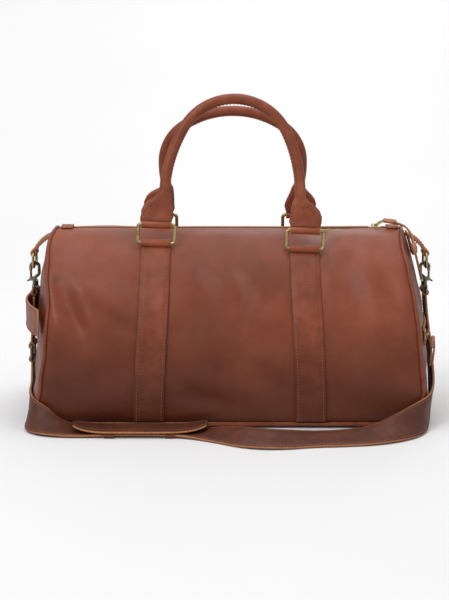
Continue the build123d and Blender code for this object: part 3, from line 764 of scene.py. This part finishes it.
def puff(side, x, z, v):
    """How far the leather stands out from the plain shape."""
    calm = smooth_step(v, 0.0, 0.06) * (1 - smooth_step(v, 0.86, 0.99))
    outer = abs(x) - STRAP_X
    if outer > 0:
        between = 0.0026 * sin(min(outer / 0.14, 1) * pi) ** 1.2
    else:
        between = 0.0022 * cos(x / STRAP_X * pi / 2) ** 2
    belly = 0.0035 * sin(pi * min(max(z / 0.19, 0), 1)) ** 2
    folds = fold_depth(x, z, FRONT_FOLDS if side < 0 else REAR_FOLDS)
    near_strap = smooth_step(abs(abs(x) - STRAP_X), 0.015, 0.035)
    waves = 0.0024 * wobble(x, side, z, 9.0, 3.1) + 0.0009 * wobble(x, side, z, 26.0, 7.7)
    fine = 0.00028 * wobble(x, side, z, 90.0, 1.3)
    return calm * (between + belly + (folds + waves) * mix(0.35, 1.0, near_strap) + fine)


DROOP_X = 0.118  # where the front of the mouth sags and shows the zip


def skin_point(side, share, v):
    """A point of the front (side -1) or rear skin; share runs from -1 to 1 along the bag."""
    depth, z = profile(v)
    x = share * end_reach(side * depth, z, 1 if share > 0 else -1)
    d2, z2 = profile(min(v + 0.002, 1.0))
    d1, z1 = profile(max(v - 0.002, 0.0))
    normal = Vector((0, side * (z2 - z1), -(d2 - d1))).normalized()
    pinch = -0.0030 * smooth_step(abs(share), 0.955, 1.0) ** 2
    out = puff(side, x, z, v) * (1 - smooth_step(abs(share), 0.93, 1.0)) + pinch
    droop = -0.0035 * bell((x - DROOP_X) / 0.03) * smooth_step(v, 0.80, 0.92) * (side < 0)
    return Vector((x, side * depth, z)) + normal * (out + droop)


def skin_at(side, x, v):
    """The skin point and its outward normal at a given x."""
    depth, z = profile(v)
    share = x / end_reach(side * depth, z, 1 if x > 0 else -1)
    here = skin_point(side, share, v)
    up = skin_point(side, share, min(v + 0.01, 1.0)) - skin_point(side, share, max(v - 0.01, 0.0))
    normal = Vector((1, 0, 0)).cross(up).normalized() * -side
    if normal.y * side < -0.2 or normal.z < -0.5:
        normal = -normal
    return here, normal


def skin(name, node, rows, flip, material, thick, wrap=False):
    """A leather skin over rows of points, thickened inwards."""
    faces = grid(rows, wrap=wrap)
    if flip:
        faces = [tuple(reversed(f)) for f in faces]
    piece = new_mesh(name, flat(rows), faces, [material, RAW], "bag")
    if wrap:
        clean_centre(piece)
    if node == "end_panel_right":
        cut_window(piece)
    modify(piece, "SOLIDIFY", thickness=thick, offset=-1, material_offset_rim=1)
    stand_for(piece, node)


def panel(side):
    columns, levels = 200, 110
    name = side_name(side, ("front", "rear"))
    rows = []
    for r in range(levels + 1):
        rows.append([skin_point(side, -1 + 2 * c / columns, r / levels) for c in range(columns + 1)])
    skin(f"{name}_leather", f"{name}_panel", rows, side > 0, SKIN, SKIN_THICK)


def rim_points(count):
    """The cross-section as points: up the front, over the top, down the rear."""
    front = [(-depth, z) for depth, z in (profile(v) for v in spread(0, 1, count))]
    return front + [(0.0, TOP_Z)] + [(-y, z) for y, z in reversed(front)]


END_FOLDS = [
    ((-0.085, 0.175), (-0.03, 0.09), 0.018, -0.003),
    ((0.08, 0.185), (0.045, 0.085), 0.018, -0.0032),
    ((-0.09, 0.06), (0, 0.03), 0.018, -0.0022),
    ((0.02, 0.06), (0.095, 0.035), 0.016, -0.0024),
]
POCKET_Z, POCKET_HALF, WINDOW_HALF = 0.115, 0.0955, 0.0085
TAB_Z = 0.218  # where the tab that holds the D-ring is sewn
END_CENTRE_Z = 0.105


def end_panel(side):
    """One bulging end, with the base turned under it, drawn as rings that grow from its centre."""
    name = side_name(side)
    corner = (BASE_CORNER_Y + 0.0095, 0.0018)
    bottom = [(y, 0.0) for y in spread(BASE_CORNER_Y, -BASE_CORNER_Y, 24)]
    rim = rim_points(60) + [corner] + bottom + [(-corner[0], corner[1])]
    rows = []
    for share in spread(0, 1, 44):
        row = []
        for rim_y, rim_z in rim:
            y, z = rim_y * share, mix(END_CENTRE_Z, rim_z, share)
            calm = 1 - smooth_step(share, 0.90, 1.0)
            calm *= smooth_step(hypot(y, z - TAB_Z), 0.02, 0.04)
            if side > 0:
                calm *= smooth_step(abs(z - POCKET_Z), 0.014, 0.035)
            wave = 0.0032 * wobble(side * 5.0, y, z, 11.0, 4.4) + 0.0010 * wobble(side, y, z, 30.0, 2.2)
            pinch = -0.0012 * smooth_step(share, 0.955, 1.0)
            x = end_reach(y, z, side) + (wave + fold_depth(y, z, END_FOLDS)) * calm + pinch
            row.append(Vector((side * x, y, z)))
        rows.append(row)
    skin(f"end_{name}_leather", f"end_panel_{name}", rows, side < 0, END_SKIN, END_THICK, wrap=True)


def clean_centre(piece):
    """Merges the points that lie in one place at the middle of the end."""
    mesh = bmesh.new()
    mesh.from_mesh(piece.data)
    bmesh.ops.remove_doubles(mesh, verts=mesh.verts, dist=1e-6)
    mesh.to_mesh(piece.data)
    mesh.free()


def cut_window(piece):
    """Opens the end skin behind the pocket's zip."""
    mesh = bmesh.new()
    mesh.from_mesh(piece.data)
    for place, normal in (
        ((0, 0, POCKET_Z - WINDOW_HALF), (0, 0, 1)),
        ((0, 0, POCKET_Z + WINDOW_HALF), (0, 0, 1)),
        ((0, -POCKET_HALF, 0), (0, 1, 0)),
        ((0, POCKET_HALF, 0), (0, 1, 0)),
    ):
        everything = mesh.verts[:] + mesh.edges[:] + mesh.faces[:]
        bmesh.ops.bisect_plane(mesh, geom=everything, dist=1e-6, plane_co=place, plane_no=normal)
    middles = [(face, face.calc_center_median()) for face in mesh.faces]
    inside = [face for face, m in middles if abs(m.z - POCKET_Z) < WINDOW_HALF and abs(m.y) < POCKET_HALF]
    bmesh.ops.delete(mesh, geom=inside, context="FACES")
    mesh.to_mesh(piece.data)
    mesh.free()


def base_leather():
    """The base, turned up round both long corners to its seams."""
    turned = []
    for degrees in (40, 25, 12):
        out, up = BASE_CORNER * sin(radians(degrees)), BASE_CORNER * (1 - cos(radians(degrees)))
        turned.append((BASE_CORNER_Y + out, up))
    edge = [(HALF_BASE - 0.0010, SEAM_Z), *turned]
    under = [(y, 0.0) for y in spread(-BASE_CORNER_Y, BASE_CORNER_Y, 30)]
    rows = []
    for y, z in [(-y, z) for y, z in edge] + under + edge[::-1]:
        row = []
        for share in spread(-1, 1, 80):
            x = share * (end_reach(y, z, 1 if share > 0 else -1) - 0.0005)
            lift = 0.0006 * (1 + wobble(x, y, 0, 22.0, 5.0)) * smooth_step(abs(y), 0.0, 0.02)
            row.append(Vector((x, y, z + lift * (abs(y) < BASE_CORNER_Y))))
        rows.append(row)
    skin("base_leather", "base_panel", rows, True, SKIN, END_THICK)


def end_welts():
    """The rolled welt round each end seam, with a stitch row beside it."""
    for side in (-1, 1):
        name = side_name(side)
        path, panel_line, normals = [], [], []
        for y, z in rim_points(90):
            out = Vector((0, y / HALF_DEPTH**2, max(z - WAIST_Z, 0) / CROWN_RISE**2)).normalized()
            point = Vector((side * (end_reach(y, z, side) - 0.0022), y, z)) - out * 0.0008
            path.append(point)
            panel_line.append(point + Vector((-side * 0.0062, 0, 0)) + out * 0.0002)
            normals.append(out)
        welt = tube(f"end_welt_{name}", path, lambda t: 0.0021, PIPING, "bag", 10)
        stand_for(welt, f"end_piping_{name}")
        sew(f"end_stitches_{name}", stitch_line(panel_line, normals, lift=0.0004), "bag")


def base_welts():
    for name in ("front", "rear"):
        low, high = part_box(f"base_piping_{name}")
        y, z = middle(low, high, 1), middle(low, high, 2)
        points = []
        for x in spread(low[0], high[0], 120):
            sway, rise = 0.0007 * wobble(x, y, 0, 20.0, 9.0), 0.0006 * wobble(x, y, 0, 24.0, 2.0)
            points.append(Vector((x, y + sway, z + rise)))
        welt = tube(f"base_welt_{name}", points, lambda t: 0.0024 + 0.0002 * sin(t * 150), PIPING, "bag", 12)
        stand_for(welt, f"base_piping_{name}")


# ---- handles ----

LOOP_INNER, LOOP_OUTER = 0.0024, 0.0052
HANDLE_TUBE = 0.0068
# Each arch: its offset along the bag, its left points (how far out, how high) and its first direction.
ARCHES = {
    "front": (0.0, [(0.087, 0.039), (0.066, 0.125)], (0.0, 1.0)),
    "rear": (0.004, [(0.088, 0.039), (0.092, 0.076), (0.066, 0.124)], (-0.24, 0.97)),
}


def handle_frame(name):
    """The rings' plane: a point of the lower bars' axis and of the upper bars' axis,
    and the directions along, up and facing out."""
    ring, grip = joints[f"{name}_ring_left"], joints[f"{name}_handle"]
    low, high = Vector(ring["pos_m"]), Vector(grip["pos_m"])
    along = Vector(ring["axis"]).normalized()
    up = (high - low).normalized()
    return low, high, along, up, along.cross(up).normalized()


def tangent_arc(start, leaving, end, step=0.003):
    """Points from start towards end on the arc that leaves start in that direction,
    and the way it arrives."""
    chord = end - start
    leaving = leaving.normalized()
    turn = 2 * atan2(leaving.x * chord.y - leaving.y * chord.x, leaving.dot(chord))
    radius = chord.length / (2 * sin(turn / 2))
    centre = start + Vector((-leaving.y, leaving.x)) * radius
    count = max(2, int(abs(radius * turn) / step))
    points = [centre + Matrix.Rotation(turn * i / count, 2) @ (start - centre) for i in range(count)]
    return points, Matrix.Rotation(turn, 2) @ leaving


def arch_points(offset, points, leaving):
    """The handle's centre line (along, up) from the left neck over the top to the right one."""
    left = [Vector((-out, up)) for out, up in points]
    line, heading = [], Vector(leaving)
    for start, end in zip(left, left[1:]):
        arc, heading = tangent_arc(start, heading, end)
        line += arc
    over, _ = tangent_arc(left[-1], heading, Vector((-left[-1].x, left[-1].y)))
    whole = line + over + [Vector((-p.x, p.y)) for p in reversed(line)]
    return [(p.x + offset, p.y) for p in whole]


# The handle's foot: height above the upper bar, half width, half thickness, squareness.
FOOT = [
    (0.0040, 0.0190, 0.0047, 5.0),
    (0.0085, 0.0204, 0.0040, 5.0),
    (0.0140, 0.0213, 0.0038, 4.5),
    (0.0190, 0.0203, 0.0040, 4.0),
    (0.0240, 0.0178, 0.0044, 3.4),
    (0.0290, 0.0146, 0.0050, 2.8),
    (0.0340, 0.0112, 0.0058, 2.4),
    (0.0390, 0.0088, 0.0064, 2.1),
]
# The stitched outline of a foot: height above the upper bar and half width.
FOOT_SEAM = [(0.0065, 0.016), (0.012, 0.018), (0.018, 0.0174), (0.024, 0.0142), (0.031, 0.009)]
SEAM_HALF_WIDTH = 0.0085  # the tube's seam ends where the feet grow wider than this


def oval(centre, across, facing, half_wide, half_thick, square, sides=28):
    ring = []
    for k in range(sides):
        a = 2 * pi * k / sides
        x, y = rounded(cos(a), 2 / square), rounded(sin(a), 2 / square)
        ring.append(centre + across * x * half_wide + facing * y * half_thick)
    return ring


def handle(name):
    """A rolled handle: its arch, the feet folded round the rings, and its seams."""
    _, high, along, up, facing = handle_frame(name)
    offset, outline, leaving = ARCHES[name]
    span = STRAP_X / abs(along.x)
    body = f"{name}_handle"

    def place(u, w):
        return high + along * u + up * w

    def foot_u(sign, h):
        """How far along a foot's middle is at a height: from over its ring to the neck."""
        return mix(sign * span, offset + sign * outline[0][0], smooth_step(h, 0.010, 0.040))

    left, right = ([(place(foot_u(sign, h), h), *form) for h, *form in FOOT] for sign in (-1, 1))
    arch = arch_points(offset, outline, leaving)[1:-1]
    stations = left + [(place(u, w), HANDLE_TUBE, HANDLE_TUBE, 2.0) for u, w in arch] + right[::-1]
    rows, seam = [], []
    for (centre, a, b, square), line in zip(stations, tangents([s[0] for s in stations])):
        across = facing.cross(line).normalized()
        dent = 1 + 0.025 * wobble(*centre, 45.0, 2.5)
        rows.append(oval(centre, across, facing, a * dent, b * dent, square))
        if a < SEAM_HALF_WIDTH:
            seam.append((centre, across * a * 0.999))
    parts = [new_mesh("tube", flat(rows), grid(rows, wrap=True, caps=True), ROLLED, body)]
    for sign in (-1, 1):
        bar = high + along * sign * span
        parts.append(strap_fold(bar, along, STRAP_WIDTH, LOOP_INNER, LOOP_OUTER, body, ROLLED))
    stand_for(join(f"{body}_leather", parts, body), body)

    # The seam runs along the inner side of the arch.
    centre, out = seam[len(seam) // 2]
    inwards = sum((c for c, _ in seam), Vector()) / len(seam) - centre
    turned = 1 if out.dot(inwards) > 0 else -1
    points = [c + out * turned for c, out in seam]
    stitches = stitch_line(points, [(out * turned).normalized() for _, out in seam], 0.0046, 0.0030)
    path = [(-w, h) for h, w in FOOT_SEAM] + [(w, h) for h, w in reversed(FOOT_SEAM)]
    path.append(path[0])
    for sign in (-1, 1):
        for face in (-1, 1):
            points = []
            for w, h in path:
                thick = 0.0044 + 0.0012 * smooth_step(h, 0.022, 0.036)
                points.append(place(foot_u(sign, h) + w, h) + facing * face * thick)
            stitches += stitch_line(points, [facing * face] * len(points), 0.0036, 0.0024)
    sew(f"{body}_stitches", stitches, body)


SEWN_THICK, SEWN_INSET = 0.0032, 0.0034  # a sewn strap's thickness, and its stitches' distance from the edge
STRAP_STEP = 0.008  # of the way from base seam to mouth, between the sewn straps' frames


def handle_straps():
    """The four sewn straps that carry the rings."""
    for side in (-1, 1):
        name = side_name(side, ("front", "rear"))
        low, _, along, _, _ = handle_frame(name)
        splay = 0.008 if side < 0 else 0.004
        for x_side in (-1, 1):
            bar = low + along * (x_side * STRAP_X / abs(along.x))
            frames = []
            v = 0.015
            while v < 1.0 and profile(v)[0] >= abs(bar.y) - 0.004:
                x = x_side * (STRAP_X + splay * (1 - smooth_step(profile(v)[1], 0.0, 0.22)))
                here, normal = skin_at(side, x, v)
                frames.append((here + normal * 0.0017, Vector((1, 0, 0)), normal))
                v += STRAP_STEP
            node = f"handle_strap_{name}_{side_name(x_side)}"
            run = ribbon("run", frames, STRAP_WIDTH, SEWN_THICK, "bag", TRIM, edge=PIPING)
            loop = strap_fold(bar, along, STRAP_WIDTH, LOOP_INNER, LOOP_OUTER, "bag", TRIM, edge=PIPING)
            stand_for(join(node + "_leather", [run, loop], "bag"), node)
            reach, lift = STRAP_WIDTH / 2 - SEWN_INSET, SEWN_THICK / 2
            lines = []
            for edge in (-1, 1):
                points = [c + a * edge * reach + n * lift for c, a, n in frames]
                lines += stitch_line(points, [n for _, _, n in frames])
            for back in (4, 22):
                c, a, n = frames[-back]
                lines += stitch_line([c + a * w + n * lift for w in spread(-reach, reach, 8)], [n] * 9)
            sew(node + "_stitches", lines, "bag")


# ---- ends, pads and the rest ----


GRIP_THICK, TAB_THICK, PATCH_THICK = 0.0028, 0.0046, 0.0022
ALONG_Y, UP = Vector((0, 1, 0)), Vector((0, 0, 1))


def end_grip():
    """The band to grab the left end by."""
    low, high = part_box("end_grip")
    half_y, crest = high[1], -low[0]
    rise = crest + high[0]
    radius = (half_y**2 + rise**2) / (2 * rise)
    mid_z, width = middle(low, high, 2), high[2] - low[2]
    frames = []
    for y in spread(-half_y, half_y, 60):
        x = crest - (radius - sqrt(radius**2 - y * y)) - GRIP_THICK / 2
        x = max(x, end_reach(y, mid_z) + 0.0016)
        sway = 0.0012 * wobble(0, y, 0, 14.0, 6.0)
        frames.append((Vector((-x - sway, y, mid_z + sway)), UP, Vector((-1, -y / radius, 0)).normalized()))
    stand_for(ribbon("end_grip_leather", frames, width, GRIP_THICK, "bag", TRIM), "end_grip")
    sew_ribbon("end_grip_stitches", frames, width, GRIP_THICK, "bag", 0.0034)


def end_tab(side):
    """The folded leather tab that holds a D-ring."""
    node = f"end_tab_{side_name(side)}"
    low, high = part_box(node)
    width = high[1] - low[1]
    pivot = Vector(joints[f"swivel_{side_name(side)}_swing"]["pos_m"])
    root_z = high[2] + 0.004
    root = Vector((side * (end_reach(0, root_z) + 0.0006), 0, root_z))
    head = pivot + Vector((0, 0, 0.0025))
    face = (head - root).cross(ALONG_Y).normalized()
    frames = []
    for t in spread(0, 1, 12):
        bow = Vector((side * 0.0016, 0, 0.0022)) * sin(pi * t)
        frames.append((root.lerp(head, t) + bow, ALONG_Y, face))
    patch = []
    for z in spread(root_z + 0.003, root_z - 0.026, 12):
        place = Vector((side * (end_reach(0, z) + 0.0012), 0, z))
        patch.append((place, ALONG_Y, Vector((side, 0, 0.3)).normalized()))
    parts = [
        strap_fold(pivot, ALONG_Y, width, BAR_ROOM, 0.0044, "bag", TRIM),
        ribbon("arm", frames, width, TAB_THICK, "bag", TRIM),
        ribbon("patch", patch, width, PATCH_THICK, "bag", TRIM),
    ]
    stand_for(join(f"{node}_leather", parts, "bag"), node)
    sew_ribbon(f"{node}_stitches", frames[2:-2], width, TAB_THICK, "bag", 0.003, (-1, 1))


PAD_LIFT = 0.0017  # from the pad's underside to its seam
PAD_FLAT_X, PAD_CURL = (-0.155, -0.072), 0.125  # the pad lies flat between these, and curls up past them
PAD_SEAM_HALF = 0.0014  # half the pad's thickness at its seam


def pad_form():
    """The crowned shoulder pad: two leathers sewn together over a thin filling."""
    low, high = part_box("shoulder_pad")
    mid_y, half_width = middle(low, high, 1), (high[1] - low[1]) / 2
    turns = [2 * pi * k / 40 for k in range(40)]
    rings, seam = [], []
    for t in spread(0, 1, 72):
        x = mix(low[0] + 0.001, high[0] - 0.001, t)
        over = max(PAD_FLAT_X[0] - x, x - PAD_FLAT_X[1], 0)
        under = 0.0056 + PAD_CURL * (1 - sqrt(1 - (over / PAD_CURL) ** 2)) * 0.8
        from_middle = abs(2 * t - 1)
        taper = (1 - from_middle**9) ** 0.5
        half = max(0.0015, half_width * (0.90 + 0.10 * cos(from_middle * pi / 2)) * taper)
        ring = []
        for a in turns:
            y = half * rounded(cos(a), 0.4)
            crown = 1 - abs(y / half) ** 3
            lift = PAD_SEAM_HALF + (0.0011 if sin(a) > 0 else 0.0002) * crown
            ring.append(Vector((x, mid_y + y, under + PAD_LIFT + lift * rounded(sin(a), 0.5))))
        rings.append(ring)
        seam.append((x, half, under + PAD_LIFT))
    faces = grid(rings, wrap=True, caps=True)
    # The pad is made in the dark strap leather, which also paints in the shade that falls on its top under the
    # bag.
    piece = new_mesh("shoulder_pad_leather", flat(rings), faces, STRAP, "bag")
    modify(piece, "SUBSURF", levels=1, render_levels=1)
    settle(piece)
    stand_for(piece, "shoulder_pad")
    lines, edges = [], []
    for side in (-1, 1):
        inset, lift = 0.0042, PAD_SEAM_HALF + 0.0008
        points = [Vector((x, mid_y + side * (half - inset), z + lift)) for x, half, z in seam if half > 0.006]
        lines += stitch_line(points, [UP] * len(points))
        points = [Vector((x, mid_y + side * half * 0.995, z)) for x, half, z in seam if half > 0.003]
        edges.append(tube("edge", points, lambda t: 0.0011, RAW, "bag", 8))
    return piece, sew("shoulder_pad_stitches", lines, "bag"), join("shoulder_pad_edges", edges, "bag")


def pad_keepers():
    """The two leather loops that hold the pad to the strap."""
    low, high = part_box("pad_keepers")
    half_y, bottom = (high[1] - low[1]) / 2, low[2] + 0.0006
    centre_z, half_z = (high[2] + bottom) / 2, (high[2] - bottom) / 2
    parts = []
    for x in (low[0] + 0.0065, high[0] - 0.0065):
        loop = []
        for a in spread(0, 2 * pi, 32):
            y, z = half_y * rounded(cos(a), 0.25) * 0.97, half_z * rounded(sin(a), 0.5)
            place = Vector((x, middle(low, high, 1) + y, centre_z + z))
            loop.append((place, Vector((1, 0, 0)), Vector((0, cos(a), sin(a)))))
        parts.append(ribbon("keeper", loop, 0.013, 0.0011, "bag", TRIM))
    piece = join("pad_keepers_leather", parts, "bag")
    stand_for(piece, "pad_keepers")
    return piece


def zip_tabs():
    """A leather tab over each end of the zip."""
    for name in ("left", "right"):
        low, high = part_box(f"zip_end_tab_{name}")
        places = [Vector((x, 0, middle(low, high, 2))) for x in spread(low[0], high[0], 8)]
        frames = [(place, ALONG_Y, UP) for place in places]
        piece = ribbon(f"zip_end_{name}_leather", frames, high[1] - low[1], high[2] - low[2], "bag", TRIM)
        stand_for(piece, f"zip_end_tab_{name}")
        lines = []
        for side in (-1, 1):
            points = [place + ALONG_Y * side * 0.0098 + UP * 0.001 for place in places]
            lines += stitch_line(points, [UP] * len(points))
        sew(f"zip_end_{name}_stitches", lines, "bag")


def pocket_welt():
    """The sewn leather frame round the end pocket's zip."""
    low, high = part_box("pocket_welt")
    half_y, mid_z = high[1], middle(low, high, 2)
    inner, outer, short_width = 0.0074, high[2] - mid_z, 0.008

    def frame_at(y, z, lift, across):
        out = Vector((1, y / END_RADIUS, (z - END_APEX_Z) / END_RADIUS)).normalized()
        return Vector((end_reach(y, z), y, z)) + out * lift, across, out

    parts, lines = [], []
    for sign in (-1, 1):
        z = mid_z + sign * (inner + outer) / 2
        frames = [frame_at(y, z, 0.0010, UP) for y in spread(-half_y, half_y, 60)]
        parts.append(ribbon("welt", frames, outer - inner, 0.0018, "bag", TRIM))
        lines += stitch_line([c + n * 0.001 for c, _, n in frames], [n for _, _, n in frames])
    for sign in (-1, 1):
        y = sign * (half_y - short_width / 2)
        frames = [frame_at(y, z, 0.0012, ALONG_Y) for z in spread(mid_z - outer, mid_z + outer, 8)]
        parts.append(ribbon("welt", frames, short_width, 0.0018, "bag", TRIM))
    stand_for(join("pocket_welt_leather", parts, "bag"), "pocket_welt")
    sew("pocket_welt_stitches", lines, "bag")


def paint_cad():
    """Gives every CAD node that stays visible its procedural finish."""
    finishes = {
        BRASS: ("handle_ring", "d_ring", "zip_slider", "zip_pull_ring", "pocket_slider", "pocket_pull_ring"),
        DARK_BRASS: ("snap_hook", "hook_gate", "swivel_ring", "strap_buckle"),
        TEETH: ("zip_teeth", "pocket_zip_teeth"),
        TAPE: ("zip_tape", "pocket_zip_tape"),
        LINING: ("lining", "pocket_pouch"),
        ROPE: ("front_handle_core", "rear_handle_core"),
        BOARD: ("base_board",),
    }
    for material, starts in finishes.items():
        for name, obj in frame["nodes"].items():
            if not name.startswith(starts):
                continue
            if not obj.material_slots:
                obj.data.materials.append(material)
            for slot in obj.material_slots:
                slot.material = material


FLOOR_Z, SWEEP_START = -0.0003, 1.2  # just under the bag; how far behind it the floor starts to rise


def studio():
    """A pale floor that sweeps up behind the bag, and soft lights."""
    rows = []
    for y in spread(-6.0, 3.0, 40):
        z = FLOOR_Z + max(y - SWEEP_START, 0) ** 2 * 0.75
        rows.append([Vector((x, y, z)) for x in (-7.0, 7.0)])
    new_mesh("floor", flat(rows), [tuple(reversed(f)) for f in grid(rows)], floor_material(), None)
    world = bpy.data.worlds.new("studio")
    scene.world = world
    world.use_nodes = True
    background = world.node_tree.nodes["Background"].inputs
    background["Color"].default_value = (1.0, 1.0, 1.0, 1)
    background["Strength"].default_value = 0.62
    for name, place, aim, size, power in (
        ("key", (-1.3, -1.6, 2.1), (0, 0, 0.15), 1.4, 40),
        ("fill", (1.9, -1.7, 1.1), (0, 0, 0.12), 1.6, 9),
        ("top", (0.1, 0.2, 2.4), (0, 0, 0.1), 1.8, 26),
        ("back", (0.5, 2.2, 1.6), (0, 0, 0.2), 1.5, 12),
        ("wall", (0.0, 0.7, 2.3), (0, 2.9, 1.2), 2.0, 16),
    ):
        data = bpy.data.lights.new(name, "AREA")
        data.size, data.energy = size, power
        light = bpy.data.objects.new(name, data)
        scene.collection.objects.link(light)
        light.location = place
        light.rotation_euler = (Vector(place) - Vector(aim)).to_track_quat("Z", "Y").to_euler()
    scene.view_settings.view_transform = "Standard"


# ---- making the bag ----

zip_laces()
strap_path = strap_frames(STRAP_ROUTE)
strap, strap_pieces = shoulder_strap(strap_path)
pad_pieces = pad_form()
keepers = pad_keepers()
panel(-1)
panel(1)
end_panel(-1)
end_panel(1)
base_leather()
end_welts()
base_welts()
handle("front")
handle("rear")
handle_straps()
end_grip()
end_tab(-1)
end_tab(1)
zip_tabs()
pocket_welt()
paint_cad()
studio()
